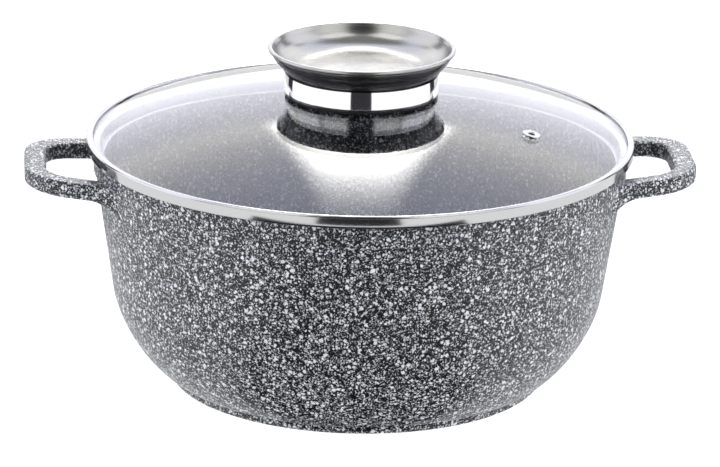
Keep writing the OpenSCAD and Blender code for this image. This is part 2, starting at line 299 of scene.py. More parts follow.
@dataclass(frozen=True)
class StoneCoating:
    """Matt black coating sprayed with drops of white and grey, as on cast cookware.

    The shares say how many cells of the coarse, middle and fine spray hold a drop.
    """

    name: str = "stone_coating"
    ground: Colour = (0.004, 0.0045, 0.0055)
    haze: Colour = (0.012, 0.013, 0.015)
    fleck: Colour = (0.79, 0.82, 0.87)
    shares: tuple[float, float, float] = (0.4, 0.6, 0.58)
    roughness: float = 0.4
    sprays: tuple[Spray, ...] = (
        Spray(400.0, 0.22, 0.5, 0.7, 1.0), Spray(720.0, 0.28, 0.54, 0.4, 1.0),
        Spray(1350.0, 0.34, 0.56, 0.1, 0.95))
    wander_scale: float = 1000.0
    wander_reach: float = 1.25 * MM
    haze_scale: float = 1500.0
    lumps_scale: float = 500.0
    relief: float = 0.04 * MM

    def make(self) -> Material:
        """Builds the material."""
        desk = NodeDesk(self.name)
        where = desk.place()
        pushed = desk.wander(where, self.wander_scale, self.wander_reach)
        haze = desk.ramp(desk.noise(where, self.haze_scale, 2.0, 0.6), 0.42, 0.7)
        colour, cover = desk.mix(haze, self.ground, self.haze), None
        for share, spray in zip(self.shares[::-1], self.sprays[::-1]):
            drop, chance = desk.drops(pushed, spray.scale, share, spray.small, spray.large)
            tone = desk.math("MULTIPLY", drop,
                             desk.ramp(chance, 0.0, 1.0, spray.dim, spray.full, False))
            colour = desk.mix(tone, colour, self.fleck)
            cover = drop if cover is None else desk.math("MAXIMUM", cover, drop)
        desk.set(Base_Color=colour, Roughness=self.roughness, IOR=1.5)
        desk.bump(desk.math("ADD", cover, desk.noise(where, self.lumps_scale, 2.0)),
                  self.relief, 0.5)
        return desk.material


@dataclass(frozen=True)
class TurnedMetal:
    """Metal with fine lines turned round the Z axis, from mirror bright to satin."""

    name: str
    colour: Colour
    roughness: float
    line_scale: float
    line_depth: float
    smudge_scale: float = 60.0

    def make(self) -> Material:
        """Builds the material."""
        desk = NodeDesk(self.name)
        where = desk.place()
        split = desk.add("ShaderNodeSeparateXYZ")
        desk.link(where, split.inputs[0])
        across = desk.math("SQRT", desk.math(
            "ADD", desk.math("POWER", split.outputs["X"], 2.0),
            desk.math("POWER", split.outputs["Y"], 2.0)))
        lines_at = desk.add("ShaderNodeCombineXYZ")
        desk.link(across, lines_at.inputs["X"])
        desk.link(split.outputs["Z"], lines_at.inputs["Y"])
        lines = desk.noise(lines_at.outputs["Vector"], self.line_scale, 2.0, 0.6)
        smudge = desk.noise(where, self.smudge_scale, 2.0)
        uneven = desk.math("ADD", lines, desk.math("MULTIPLY", smudge, 0.5))
        desk.set(Base_Color=(*self.colour, 1.0), Metallic=1.0, Roughness=desk.ramp(
            uneven, 0.4, 1.1, self.roughness * 0.75, self.roughness * 1.3))
        desk.bump(lines, self.line_depth, 1.0)
        return desk.material


@dataclass(frozen=True)
class ClearGlass:
    """Clear tempered glass with a faint cool tint."""

    tint: Colour = (0.955, 0.965, 0.975)

    def make(self) -> Material:
        """Builds the material."""
        desk = NodeDesk("clear_glass")
        desk.set(Base_Color=(*self.tint, 1.0), Roughness=0.0, IOR=1.5, Transmission_Weight=1.0)
        return desk.material


@dataclass(frozen=True)
class BlackMoulding:
    """Glossy black moulding with the faint waviness of a moulded face."""

    colour: Colour = (0.011, 0.011, 0.012)
    roughness: float = 0.16
    sheen_scale: float = 240.0
    wave_scale: float = 400.0
    wave_depth: float = 0.02 * MM

    def make(self) -> Material:
        """Builds the material."""
        desk = NodeDesk("black_moulding")
        where = desk.place()
        sheen = desk.noise(where, self.sheen_scale, 3.0)
        desk.set(Base_Color=(*self.colour, 1.0), IOR=2.1, Roughness=desk.ramp(
            sheen, 0.3, 0.7, self.roughness * 0.8, self.roughness * 1.3))
        desk.bump(desk.noise(where, self.wave_scale, 2.0), self.wave_depth, 0.4)
        return desk.material


@dataclass(frozen=True)
class Silicone:
    """Matt black silicone with a dusty bloom."""

    colour: Colour = (0.018, 0.018, 0.019)
    bloom_scale: float = 700.0
    grain_scale: float = 2500.0
    grain_depth: float = 0.01 * MM

    def make(self) -> Material:
        """Builds the material."""
        desk = NodeDesk("silicone")
        where = desk.place()
        bloom = desk.ramp(desk.noise(where, self.bloom_scale, 2.0), 0.4, 0.7)
        dusty = tuple(c * 1.6 for c in self.colour)
        desk.set(Base_Color=desk.mix(bloom, self.colour, dusty), Roughness=0.62, IOR=1.42)
        desk.bump(desk.noise(where, self.grain_scale, 1.0), self.grain_depth, 0.5)
        return desk.material


class Workshop:
    """The finishes that the pieces share, each made once."""

    def __init__(self) -> None:
        """Makes the finishes."""
        self.coating = StoneCoating().make()
        # A darker copy of the coating with dimmer flecks. Inside the pot it is the inner coat with
        # painted shade laid on it; on the loops' inner faces it is painted shade.
        self.lining_and_shade = StoneCoating(
            "stone_lining_and_painted_shade", (0.005, 0.0055, 0.007), (0.016, 0.017, 0.02), (0.5, 0.51, 0.545),
            (0.4, 0.55, 0.45), 0.45).make()
        self.bright, self.rolled, self.satin, self.turned = (
            TurnedMetal(name, colour, roughness, scale, depth).make()
            for name, colour, roughness, scale, depth in (
                ("polished_steel", (0.80, 0.80, 0.81), 0.07, 4000.0, 0.002 * MM),
                ("rolled_steel", (0.5, 0.5, 0.5), 0.11, 3000.0, 0.003 * MM),
                ("satin_steel", (0.4, 0.396, 0.38), 0.25, 3500.0, 0.006 * MM),
                ("turned_aluminium", (0.72, 0.72, 0.73), 0.33, 1500.0, 0.02 * MM)))
        self.glass = ClearGlass().make()
        self.black = BlackMoulding().make()
        self.rubber = Silicone().make()

    @staticmethod
    def dress(piece: Piece, finish: Material, slot: Slot, node: str) -> None:
        """Gives a piece its body and node, and its finish if it has none."""
        if not piece.data.materials:
            piece.data.materials.append(finish)
        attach(piece, ROOT)
        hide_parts(node)
        low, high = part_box(node)
        drift = max(abs(a - b) for a, b in zip(
            [*low, *high], [f(v.co[k] for v in piece.data.vertices)
                            for f in (min, max) for k in range(3)]))
        log.info("%s stands for %s, %.2f mm off its box, %d faces", piece.name, node,
                 drift / MM, len(piece.data.polygons))


@dataclass(frozen=True)
class Dome:
    """The glass's upper face, part of a sphere that stands on the lid's steel shelf."""

    edge_radius: float
    foot: float
    thickness: float
    rise: float

    @property
    def radius(self) -> float:
        """Radius of the sphere."""
        return (self.edge_radius ** 2 + self.rise ** 2) / (2 * self.rise)

    @property
    def top(self) -> float:
        """Height of the dome's top."""
        return self.foot + self.thickness + self.rise

    def height(self, radius: float, lift: float = 0.0) -> float:
        """Height of the face at a distance from the middle."""
        return self.top - self.radius + math.sqrt(self.radius ** 2 - radius ** 2) + lift

    def path(self, start: float, end: float, lift: float = 0.0, steps: int = 32) -> list[Point]:
        """Points along the face between two distances from the middle, lifted off it."""
        return [(r, self.height(r, lift))
                for r in (start + (end - start) * i / steps for i in range(steps + 1))]


@dataclass
class Pot:
    """The casting: wall, belly, foot and two loop handles."""

    rim_r: float = 141.2 * MM
    height: float = 126.2 * MM
    wall: float = 4.0 * MM
    rim_t: float = 3.0 * MM
    base: float = 6.0 * MM
    lean_deg: float = 8.4
    belly_top: float = 50.0 * MM
    belly_slope_deg: float = 35.0
    belly_pull: float = 20.0 * MM
    wall_pull: float = 13.0 * MM
    shoulder_drop: float = 11.0 * MM
    shoulder_step: float = 0.9 * MM
    ledge_drop: float = 12.5 * MM
    foot_r: float = 99.5 * MM
    foot_h: float = 5.0 * MM
    foot_step: float = 2.7 * MM
    foot_edge: float = 1.6 * MM
    groove_d: float = 0.5 * MM
    groove_w: float = 2.4 * MM
    groove_pitch: float = 8.0 * MM
    groove_start: float = 20.0 * MM
    handle_reach: float = 36.5 * MM
    handle_w: float = 88.4 * MM
    bar_w: float = 11.5 * MM
    bar_t: float = 8.8 * MM
    corner: float = 28.0 * MM
    taper_deg: float = 12.0
    tilt_deg: float = 4.3
    edge: float = 1.8 * MM
    handle_drop: float = 7.9 * MM
    under_fillet: float = 9.0 * MM
    side_fillet: float = 5.0 * MM
    over_fillet: float = 2.0 * MM
    loop_sharp_deg: float = 50.0

    def wall_radius(self, height: float) -> float:
        """Outer radius of the straight wall at a height."""
        shoulder = self.height - self.shoulder_drop
        return self.rim_r - self.shoulder_step - math.tan(math.radians(self.lean_deg)) * (
            shoulder - height)

    def section(self) -> list[Point]:
        """Half of the casting's closed section, from under the foot round to its floor."""
        slope = math.radians(self.belly_slope_deg)
        start = (self.foot_r + self.foot_step, self.foot_h)
        low = self.belly_top - self.wall_pull
        belly = cubic(
            start,
            (start[0] + self.belly_pull * math.cos(slope),
             start[1] + self.belly_pull * math.sin(slope)),
            (self.wall_radius(low), low), (self.wall_radius(self.belly_top), self.belly_top), 40)
        inner = beside(belly, self.wall)
        shoulder = self.height - self.shoulder_drop
        ledge = self.height - self.ledge_drop
        inner_rim = self.rim_r - self.rim_t
        round_r = self.rim_t * 0.4
        run = (inner[0][1] - self.base) / math.tan(slope)
        wall_in = self.wall / math.cos(math.radians(self.lean_deg))
        rings: list[Point] = []
        radius = self.groove_start
        while radius < self.foot_r - self.foot_edge - self.groove_w:
            half = self.groove_w / 2
            rings += [(radius - half, 0.0), (radius - half + self.groove_d, self.groove_d),
                      (radius + half - self.groove_d, self.groove_d), (radius + half, 0.0)]
            radius += self.groove_pitch
        outside = (arc((self.foot_r - self.foot_edge, self.foot_edge), self.foot_edge, -90, 0, 6)
                   + [(self.foot_r, self.foot_h - 0.6 * MM), (self.foot_r + 0.5 * MM, self.foot_h)]
                   + belly
                   + [(self.wall_radius(shoulder - self.shoulder_step),
                       shoulder - self.shoulder_step), (self.rim_r, shoulder)]
                   + arc((self.rim_r - round_r, self.height - round_r), round_r, 0, 90, 6))
        inside = (arc((inner_rim + round_r, self.height - round_r), round_r, 90, 180, 6)
                  + [(inner_rim, ledge), (self.wall_radius(ledge) - wall_in, ledge - 1 * MM)]
                  + inner[::-1]
                  + cubic(inner[0], (inner[0][0] - run, self.base),
                          (inner[0][0] - 2 * run, self.base),
                          (inner[0][0] - 3 * run, self.base), 8)[1:]
                  + [(0.0, self.base)])
        return [(0.0, 0.0)] + rings + outside + inside

    def bar_ring(self, side: float, over: float, under: float) -> list[Point]:
        """The bar's section, a rounded rectangle that grows towards the wall.

        It is wider by side on each side, raised by over and deeper by under. Gives points
        across and up, from the bar's middle.
        """
        half_w, half_t = self.bar_w / 2, self.bar_t / 2
        ring: list[Point] = []
        for sx, sy, start in ((1, 1, 0), (-1, 1, 90), (-1, -1, 180), (1, -1, 270)):
            ring += arc((sx * (half_w - self.edge), sy * (half_t - self.edge)), self.edge,
                        start, start + 90, 6)
        return [(x * (1 + side / half_w), y * (1 + (over if y > 0 else under) / half_t))
                for x, y in ring]

    @staticmethod
    def fillet(radius: float, away: float) -> float:
        """How far a fillet of that radius stands out at a distance from the wall."""
        inside = min(max(radius - away, 0.0), radius)
        return radius - math.sqrt(radius ** 2 - inside ** 2)

    def loop(self, name: str) -> Piece:
        """One loop handle on +X, a closed tube whose flared roots end inside the wall."""
        taper, tilt = math.radians(self.taper_deg), math.radians(self.tilt_deg)
        mid_z = self.height - self.handle_drop - self.bar_t / 2
        bend = self.corner - self.bar_w / 2
        bend_x = self.rim_r + self.handle_reach - self.corner
        bend_y = (self.handle_w / 2 - math.tan(taper) * (bend_x - self.rim_r)
                  - self.corner / math.cos(taper))
        inward = Vector((-math.cos(taper), math.sin(taper), 0))
        side = Vector((math.sin(taper), math.cos(taper), 0))
        start = Vector((bend_x, bend_y, 0)) + side * bend

        def reach(spot: Vector, radius: float) -> float:
            """How far a spot is from the wall of a radius, along the bar."""
            ahead = spot.x * inward.x + spot.y * inward.y
            return -ahead - math.sqrt(ahead ** 2 - spot.xy.length_squared + radius ** 2)

        def raised(spot: Vector, up: float) -> Vector:
            """The spot at its height on the tilted handle."""
            return Vector((spot.x, spot.y, mid_z + up + (spot.x - self.rim_r) * math.tan(tilt)))

        run = reach(start, self.rim_r)
        root_r = self.rim_r * 0.96

        def root_ring(away: float) -> list[Vector]:
            """One ring of a side bar, at a distance from the wall."""
            grow = (self.fillet(self.side_fillet, away), self.fillet(self.over_fillet, away),
                    self.fillet(self.under_fillet, away))
            follow = (1.0 - min(max(away / (run * 0.9), 0.0), 1.0)) ** 2
            points = []
            for across, up in self.bar_ring(*grow):
                spot = start + side * across
                height = mid_z + up + (root_r - self.rim_r) * math.tan(tilt)
                wall = reach(spot, min(self.wall_radius(height), self.rim_r))
                along = follow * (wall - away) + (1 - follow) * (run - away)
                points.append(raised(spot + inward * along, up))
            return points

        deep = 1.8 * MM
        grown = self.under_fillet
        stations = [-deep] + [grown * (1 - math.cos(math.radians(a))) for a in range(0, 91, 9)]
        stations += [grown + (run - grown) * k / 5 for k in range(1, 5)]
        rings = [root_ring(away) for away in stations]
        corner_steps = 18
        for k in range(corner_steps + 1):
            turn = (math.pi / 2 - taper) * (1 - k / corner_steps)
            out = Vector((math.cos(turn), math.sin(turn), 0))
            centre = Vector((bend_x, bend_y, 0)) + out * bend
            rings.append([raised(centre + out * x, y) for x, y in self.bar_ring(0, 0, 0)])
        rings += [[Vector((p.x, -p.y, p.z)) for p in ring] for ring in rings[::-1]]
        work = bmesh.new()
        rows = [[work.verts.new(p) for p in ring] for ring in rings]
        count = len(rows[0])
        for near, far in zip(rows, rows[1:]):
            for k in range(count):
                n = (k + 1) % count
                work.faces.new((near[k], near[n], far[n], far[k]))
        work.faces.new(rows[0])
        work.faces.new(rows[-1])
        mesh = finished_mesh(name, work)
        shade(mesh, self.loop_sharp_deg)
        return new_piece(name, mesh)

    def build(self, shop: Workshop) -> None:
        """Builds and dresses the casting as one object."""
        body = lathe("pot_wall", self.section(), 256)
        for finish in (shop.coating, shop.turned, shop.lining_and_shade):
            body.data.materials.append(finish)
        bare_edge = self.foot_r - self.foot_edge - 0.5 * MM
        inner_rim = self.rim_r - self.rim_t
        # Faces under the foot get bare turned metal; faces inside the pot get the darker lining,
        # the inner coat with painted shade.
        for face in body.data.polygons:
            spot, reach = face.center, face.center.xy.length
            if spot.z < self.groove_d * 1.5 and reach < bare_edge:
                face.material_index = 1
            elif spot.z > self.base - self.wall / 2 and reach < inner_rim and (
                    face.normal.z > 0.5 or face.normal.xy.dot(spot.xy) < 0):
                face.material_index = 2
        right = self.loop("right_loop")
        left = self.loop("left_loop")
        left.data.transform(Matrix.Rotation(math.pi, 4, "Z"))
        for loop, way in ((right, 1), (left, -1)):
            loop.data.materials.append(shop.coating)
            loop.data.materials.append(shop.lining_and_shade)
            middle = Vector((way * (self.rim_r + (self.handle_reach - self.bar_w) / 2), 0))
            # Faces that look into each loop get the darker lining as painted shade.
            for face in loop.data.polygons:
                inward = (middle - face.center.xy).normalized()
                if face.normal.xy.dot(inward) > 0.6 and abs(face.normal.z) < 0.5:
                    face.material_index = 1
        shop.dress(join("pot_casting", [body, right, left]), shop.coating, Slot.CASTING, "pot")


@dataclass
class Lid:
    """Domed glass in a rolled steel rim, with a clinched steam vent."""

    pot: Pot
    overhang: float = 3.8 * MM
    sheet: float = 0.6 * MM
    bead: float = 1.4 * MM
    skirt_h: float = 7.5 * MM
    skirt_gap: float = 1.2 * MM
    lip_w: float = 1.0 * MM
    fold: float = 1.0 * MM
    curl: float = 0.8 * MM
    glass_t: float = 4.0 * MM
    rise: float = 26.7 * MM
    glass_gap: float = 0.4 * MM
    vent_reach: float = 97.0 * MM
    vent_turn_deg: float = -27.5
    flange_r: float = 4.75 * MM
    barrel_r: float = 2.7 * MM
    hole_r: float = 1.7 * MM
    flange_t: float = 0.8 * MM
    seat: float = 0.05 * MM
    knob_hole_r: float = 4.1 * MM

    @property
    def radius(self) -> float:
        """Outer radius of the steel band."""
        return self.pot.rim_r + self.overhang

    @property
    def dome(self) -> Dome:
        """The glass's upper face."""
        return Dome(self.radius - self.sheet - self.glass_gap,
                    self.pot.height + self.sheet + self.seat, self.glass_t, self.rise)

    def rim_path(self) -> list[Point]:
        """Middle of the rim's sheet, from the lip over the bead to the skirt's curled edge."""
        half = self.sheet / 2
        shelf = self.pot.height + half
        skirt = self.pot.rim_r - self.pot.rim_t - self.skirt_gap - half
        lip_r = self.radius - 2 * self.bead - self.lip_w / 2
        lip_z = self.dome.height(lip_r, self.seat + half)
        top = self.dome.height(self.radius - 2 * self.bead) + self.bead
        return ([(lip_r, lip_z), (lip_r + self.lip_w * 0.5, lip_z - 0.1 * self.lip_w)]
                + arc((self.radius - self.bead, top - self.bead), self.bead - half, 150, 0, 16)
                + arc((self.radius - half - self.fold, shelf + self.fold), self.fold, 0, -90, 6)
                + arc((skirt + self.fold, shelf - self.fold), self.fold, 90, 180, 6)
                + arc((skirt - self.curl, self.pot.height - self.skirt_h + self.curl + half),
                      self.curl, 0, -170, 12))

    def vent_frame(self) -> Matrix:
        """Places the vent on the dome, square to the glass."""
        lean = math.asin(self.vent_reach / self.dome.radius)
        return (Matrix.Rotation(math.radians(self.vent_turn_deg), 4, "Z")
                @ Matrix.Translation((self.vent_reach, 0, self.dome.height(self.vent_reach)))
                @ Matrix.Rotation(lean, 4, "Y"))

    def glass(self) -> Piece:
        """The domed glass, with its two holes and the sphere's own normals."""
        dome = self.dome
        edge = dome.edge_radius
        soft = 0.6 * MM
        outline = (dome.path(self.knob_hole_r, edge - soft, 0.0, 64)
                   + [(edge - 0.15 * MM, dome.height(edge) - 0.35 * MM),
                      (edge, dome.height(edge) - 0.9 * MM), (edge, dome.foot + soft)]
                   + dome.path(edge - soft, self.knob_hole_r, -self.glass_t, 64))
        piece = lathe("lid_dome", outline, 256)
        drill = lathe("drill", [(0, -9 * MM), (self.barrel_r + 0.1 * MM, -9 * MM),
                                (self.barrel_r + 0.1 * MM, 9 * MM), (0, 9 * MM)], 48)
        drill.data.transform(self.vent_frame())
        cut_out(piece, drill)
        self.true_normals(piece.data)
        return piece

    def true_normals(self, mesh: Mesh) -> None:
        """Gives the dome's two faces the sphere's own normals, so that reflections run clean."""
        dome = self.dome
        centre = Vector((0, 0, dome.top - dome.radius))
        centre_in = centre - Vector((0, 0, dome.thickness))
        near = 0.9
        normals = [Vector((0, 0, 1))] * len(mesh.loops)
        for face in mesh.polygons:
            for index in face.loop_indices:
                spot = mesh.vertices[mesh.loops[index].vertex_index].co
                true = (spot - centre).normalized()
                if face.normal.dot(true) > near:
                    normals[index] = true
                elif face.normal.dot(true) < -near:
                    normals[index] = (centre_in - spot).normalized()
                else:
                    normals[index] = face.normal.copy()
        mesh.normals_split_custom_set(normals)

    def vent(self) -> Piece:
        """The steel eyelet in its place on the dome, clinched above and below the glass."""
        under = -self.glass_t - self.seat
        low_r = self.flange_r - 0.6 * MM
        half = self.flange_t / 2
        outline = ([(self.hole_r, under - self.flange_t)]
                   + arc((low_r - 0.3 * MM, under - 0.3 * MM), 0.3 * MM, -90, 90, 6)
                   + [(self.barrel_r, under), (self.barrel_r, self.seat)]
                   + arc((self.flange_r - half, self.seat + half), half, -90, 90, 10)
                   + cubic((self.hole_r + self.flange_t * 1.3, self.seat + self.flange_t),
                           (self.hole_r + self.flange_t * 0.5, self.seat + self.flange_t),
                           (self.hole_r, self.seat + self.flange_t * 0.6),
                           (self.hole_r, self.seat), 6))
        piece = lathe("steam_vent", outline, 64)
        piece.data.transform(self.vent_frame())
        return piece

    def build(self, shop: Workshop) -> None:
        """Builds and dresses the glass, the rim and the vent."""
        rim = lathe("rim_band", sheet_outline(self.rim_path(), self.sheet), 320)
        shop.dress(self.glass(), shop.glass, Slot.GLASS, "lid_glass")
        shop.dress(rim, shop.rolled, Slot.POLISHED, "lid_rim")
        shop.dress(self.vent(), shop.rolled, Slot.POLISHED, "vent_eyelet")


@dataclass
class Knob:
    """Black moulded knob with a steel band and a pressed steel dish, screwed through the glass."""

    dome: Dome
    band_r: float = 41.1 * MM
    band_h: float = 9.7 * MM
    band_t: float = 0.8 * MM
    band_drawn: float = 0.6 * MM
    lip_h: float = 1.0 * MM
    seam_d: float = 2.2 * MM
    seam_h: float = 2.0 * MM
    flare_h: float = 11.8 * MM
    flare_out: float = 0.9 * MM
    brim_out: float = 0.35 * MM
    dish_r: float = 49.5 * MM
    roll: float = 1.2 * MM
    floor_r: float = 28.0 * MM
    depth: float = 12.0 * MM
    dish_t: float = 0.8 * MM
    wall: float = 3.0 * MM
    boss_r: float = 8.0 * MM
    screw_r: float = 3.0 * MM
    tip_gap: float = 0.8 * MM
    head_r: float = 5.6 * MM
    head_h: float = 3.4 * MM
    slot_size: tuple[float, float, float] = (6 * MM, 1.2 * MM, 2.6 * MM)
    washer_r: float = 9.0 * MM
    washer_t: float = 1.0 * MM
    seal_t: float = 1.2 * MM
    seal_w: float = 5.0 * MM
    gap: float = 0.1 * MM
    seat: float = 0.05 * MM

    def __post_init__(self) -> None:
        """Works out the heights that the pieces share."""
        self.barrel_r = self.band_r - self.band_t - self.seat
        self.band_z = self.dome.height(self.band_r) + self.seal_t + self.lip_h
        self.seam_z = self.band_z + self.band_h
        self.flare_z = self.seam_z + self.seam_h
        self.dish_z = self.flare_z + self.flare_h
        self.floor_z = self.dish_z - self.depth
        self.boss_z = self.dome.height(0.0, self.seal_t + self.seat)
        self.head_z = (self.dome.top - self.dome.thickness - self.seat - self.seal_t
                       - self.washer_t - 2 * self.seat)

    def dish_wall(self) -> list[Point]:
        """Middle of the dish's sheet, from its centre to the foot of the rolled rim."""
        mid = self.floor_z - self.dish_t / 2
        run = self.dish_r - 2 * self.roll - 0.2 * MM - self.floor_r
        return [(0.0, mid), (self.floor_r - 4 * MM, mid)] + cubic(
            (self.floor_r, mid + 0.1 * MM), (self.floor_r + run * 0.62, mid + 0.3 * MM),
            (self.floor_r + run * 0.92, self.dish_z - self.depth * 0.62),
            (self.floor_r + run, self.dish_z - 1.5 * self.roll), 24)

    def dish(self) -> Piece:
        """The pressed steel dish with its rolled rim."""
        curl = arc((self.dish_r - self.roll, self.dish_z - self.roll), self.roll - self.dish_t / 2,
                   165, -90, 20)
        return lathe("aroma_dish", sheet_outline(self.dish_wall() + curl, self.dish_t), 256)

    def body(self) -> Piece:
        """The black moulding under the dish and inside the band."""
        deck = self.floor_z - self.dish_t - self.seat
        room_r = self.barrel_r - self.wall
        brim_r = self.dish_r - 2 * self.roll + self.brim_out
        brim_z = self.dish_z - 2 * self.roll - self.seat
        lip = 0.2 * MM
        base = self.dome.height(self.barrel_r, self.seal_t + self.seat)
        flare_r = self.band_r + self.flare_out
        low_edge = 0.45 * MM
        flare = (arc((flare_r - low_edge, self.flare_z + low_edge), low_edge, -90, 0, 4)
                 + cubic((flare_r + 0.02 * MM, self.flare_z + 0.85 * MM),
                         (flare_r + 1.6 * MM, self.flare_z + self.flare_h * 0.24),
                         (brim_r + 0.15 * MM, self.flare_z + self.flare_h * 0.48),
                         (brim_r, brim_z), 24))
        room = [p for p in beside(self.dish_wall(), -(self.dish_t / 2 + self.seat))
                if p[1] < brim_z and p[0] > self.floor_r - 1 * MM]
        bore = self.screw_r + self.gap / 2
        outline = ([(bore, self.boss_z), (self.boss_r, self.boss_z),
                    (self.boss_r + 0.6 * MM, deck - self.wall),
                    (room_r - 0.6 * MM, deck - self.wall)]
                   + self.dome.path(room_r, self.barrel_r, self.seal_t + self.seat, 4)
                   + [(self.band_r - lip, base + lip),
                      (self.band_r - lip, self.band_z - self.seat),
                      (self.barrel_r, self.band_z - self.seat), (self.barrel_r, self.seam_z),
                      (self.barrel_r - self.seam_d, self.seam_z + lip),
                      (self.barrel_r - self.seam_d, self.flare_z - lip)]
                   + flare + [(room[-1][0] + 0.3 * MM, brim_z)] + room[::-1]
                   + [(bore, deck)])
        return lathe("knob_moulding", outline, 256)

    def band(self) -> Piece:
        """The polished sleeve round the barrel, drawn in by a hair towards its upper edge."""
        crown, drawn = 0.4 * MM, self.band_drawn
        inner = self.band_r - self.band_t
        outline = ([(inner, self.band_z)]
                   + arc((self.band_r - crown, self.band_z + crown), crown, -90, 0, 6)
                   + [(self.band_r - drawn * share, self.band_z + self.band_h * share)
                      for share in (0.08, 0.3, 0.6, 0.9, 0.97)]
                   + [(self.band_r - drawn, self.seam_z), (inner, self.seam_z)])
        return lathe("knob_sleeve", outline, 256)

    def seal(self) -> Piece:
        """The silicone ring under the knob's edge."""
        outer = self.barrel_r - self.seal_t / 3
        outline = (self.dome.path(outer - self.seal_w, outer, self.seat, 6)
                   + self.dome.path(outer, outer - self.seal_w, self.seal_t, 6))
        return lathe("base_ring", outline, 192)

    def lower_seal(self) -> Piece:
        """The silicone washer under the glass."""
        below = self.dome.top - self.dome.thickness - self.seat - self.seal_t
        hole = self.screw_r + self.gap
        edge = self.washer_r + 0.8 * MM
        soft = 0.3 * MM
        outline = (self.dome.path(hole, edge - soft, -self.dome.thickness - self.seat, 4)
                   + arc((edge - soft, below + soft), soft, 0, -90, 4) + [(hole, below)])
        return lathe("soft_washer", outline, 96)

    def washer(self) -> Piece:
        """The steel washer, with its edges broken."""
        low = self.head_z + self.seat
        high = low + self.washer_t
        hole = self.screw_r + self.gap
        soft = 0.2 * MM
        outline = ([(hole, low)] + arc((self.washer_r - soft, low + soft), soft, -90, 0, 4)
                   + arc((self.washer_r - soft, high - soft), soft, 0, 90, 4) + [(hole, high)])
        return lathe("steel_washer", outline, 96)

    def screw(self) -> Piece:
        """The pan-headed screw, with a turned thread and a cross in its head."""
        tip = self.floor_z - self.dish_t - self.seat - self.tip_gap
        pitch = 0.8 * MM
        thread: list[Point] = []
        height = self.head_z + 3 * MM
        while height < tip - 1 * MM:
            thread += [(self.screw_r, height), (self.screw_r - 0.35 * MM, height + pitch / 2)]
            height += pitch
        base = self.head_z - self.head_h
        outline = ([(0.0, base)] + arc((self.head_r - 1.4 * MM, base + 1.4 * MM), 1.4 * MM,
                                       -90, 0, 8)
                   + [(self.head_r, self.head_z), (self.screw_r, self.head_z)] + thread
                   + [(self.screw_r, tip - 0.6 * MM), (self.screw_r - 0.6 * MM, tip), (0.0, tip)])
        piece = lathe("clamp_screw", outline, 64)
        for turn in (0.0, math.pi / 2):
            work = bmesh.new()
            bmesh.ops.create_cube(work, size=1.0, matrix=Matrix.Rotation(turn, 4, "Z")
                                  @ Matrix.Translation((0, 0, base))
                                  @ Matrix.Diagonal((*self.slot_size, 1)))
            cut_out(piece, new_piece("slot", finished_mesh("slot", work)))
        shade(piece.data)
        return piece

    def build(self, shop: Workshop) -> None:
        """Builds and dresses the pieces, from the dish down to the screw."""
        shop.dress(self.dish(), shop.satin, Slot.SATIN, "knob_dish")
        shop.dress(self.body(), shop.black, Slot.MOULDING, "knob_body")
        shop.dress(self.band(), shop.bright, Slot.POLISHED, "knob_band")
        shop.dress(self.seal(), shop.rubber, Slot.SILICONE, "knob_seal")
        shop.dress(self.lower_seal(), shop.rubber, Slot.SILICONE, "screw_seal")
        shop.dress(self.washer(), shop.satin, Slot.SATIN, "screw_washer")
        shop.dress(self.screw(), shop.satin, Slot.SATIN, "knob_screw")


@dataclass(frozen=True)
class PhotoCamera:
    """A long lens a little above the lid, turned so that the left handle comes forward."""

    look_height: float = 132.0 * MM
    distance: float = 2.6
    elevation_deg: float = 16.65
    azimuth_deg: float = -4.43
    pitch_deg: float = -1.14
    pan_deg: float = 0.017
    roll_deg: float = 1.084
    lens: float = 245.25
    sensor: float = 36.0

    @staticmethod
    def swung(first: Vector, second: Vector, deg: float) -> tuple[Vector, Vector]:
        """Two axes turned in their plane, the first one towards the second."""
        turn = math.radians(deg)
        return (first * math.cos(turn) + second * math.sin(turn),
                second * math.cos(turn) - first * math.sin(turn))

    def build(self) -> None:
        """Places the camera and makes it the scene's own."""
        rise, turn = math.radians(self.elevation_deg), math.radians(self.azimuth_deg)
        level = Vector((math.sin(turn), -math.cos(turn), 0)) * math.cos(rise)
        away = level + Vector((0, 0, math.sin(rise)))
        forward = -away
        right = forward.cross(Vector((0, 0, 1))).normalized()
        up = right.cross(forward)
        forward, right = self.swung(forward, right, self.pan_deg)
        forward, up = self.swung(forward, up, self.pitch_deg)
        right, up = self.swung(right, up, self.roll_deg)
        data = bpy.data.cameras.new("photo_camera")
        data.lens, data.sensor_width = self.lens, self.sensor
        data.clip_start, data.clip_end = 0.1, 50.0
        camera = new_piece("photo_camera", data)
        turned = Matrix((right, up, -forward)).transposed().to_4x4()
        camera.matrix_world = Matrix.Translation(
            Vector((0, 0, self.look_height)) + away * self.distance) @ turned
        bpy.context.scene.camera = camera


class SkyDesk(NodeDesk):
    """Lays out the nodes of the scene's surround."""

    def __init__(self, name: str) -> None:
        """Starts the surround with its output and background."""
        world = bpy.data.worlds.new(name)
        world.use_nodes = True
        bpy.context.scene.world = world
        self.tree = world.node_tree
        self.shader = self.tree.nodes["Background"]

    def inverse(self, value: Socket) -> Socket:
        """One less the value."""
        return self.math("SUBTRACT", 1.0, value)

    def both(self, *masks: Socket) -> Socket:
        """The product of several masks."""
        product = masks[0]
        for mask in masks[1:]:
            product = self.math("MULTIPLY", product, mask)
        return product


@dataclass(frozen=True)
class Card:
    """A card flat on the floor that only shows in reflections, such as the dark of a doorway."""

    name: str
    middle_deg: float
    half_deg: float
    near: float
    far: float
    lift: float = 1.0 * MM
    glow: float = 0.0


@dataclass(frozen=True)
class Patch:
    """Part of the surround in its own light, between angles round the pot and elevations.

    Each edge is an angle and the half width of its soft edge, or None where it has no such edge.
    """

    colour: Colour
    within: Edge | None = None
    beyond: Edge | None = None
    over: Edge | None = None
    under: Edge | None = None


